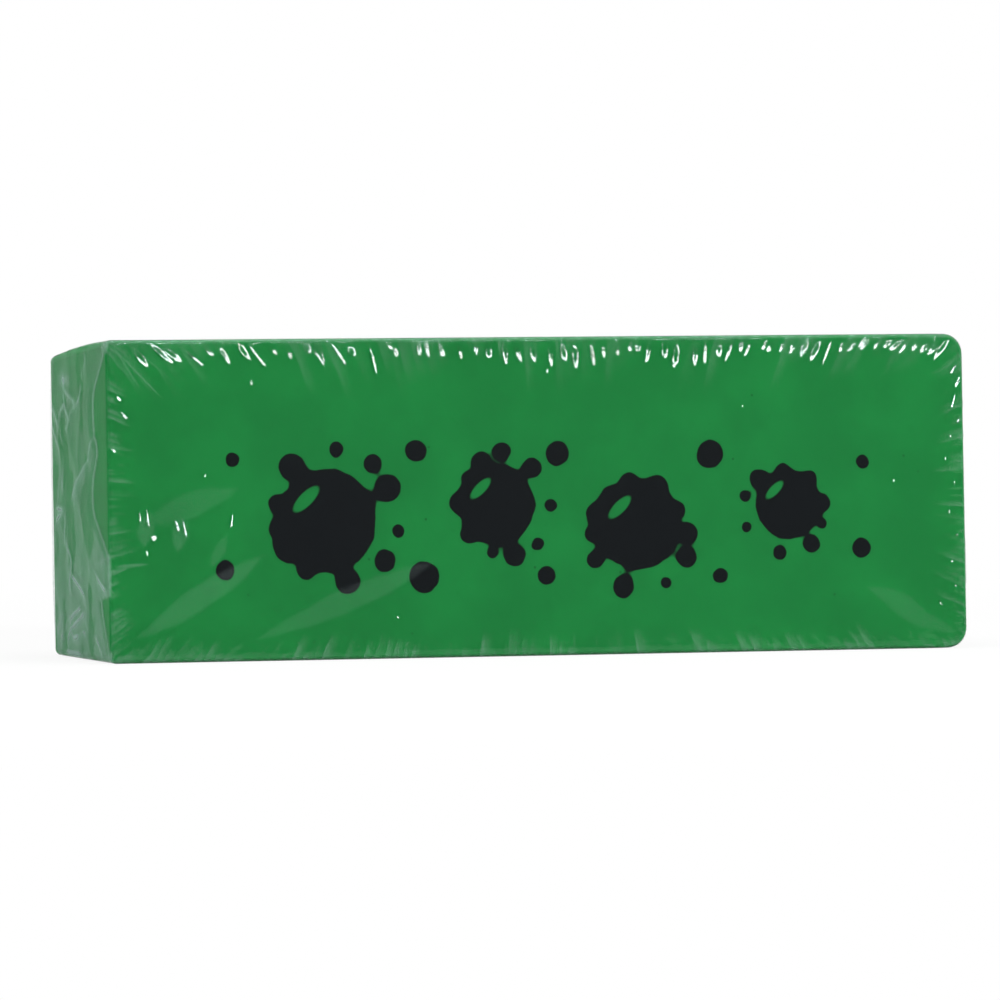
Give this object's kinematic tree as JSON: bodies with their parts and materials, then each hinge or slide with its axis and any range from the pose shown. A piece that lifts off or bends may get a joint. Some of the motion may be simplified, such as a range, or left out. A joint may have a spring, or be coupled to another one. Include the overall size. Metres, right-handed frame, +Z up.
{
  "type": "eraser",
  "caption": "Jumbo block eraser of moulded rubber, narrowing from its broad printed face to the back, in tight clear shrink film that is gathered along the edges and folded over one end.",
  "frame": {"origin": "under the middle of the whole part, on the surface it stands on", "axes": "+X along the length, towards the end with the larger corner radius; +Y from the broad printed face to the back; +Z up"},
  "size_m": [0.1402, 0.0402, 0.0495],
  "materials": {
    "rubber": "matte green rubber with a dark print on the front face",
    "film": "clear glossy film, milky where it is loose"
  },
  "bodies": {
    "root": {"eraser_block": "rubber", "shrink_film": "film"}
  },
  "joints": []
}
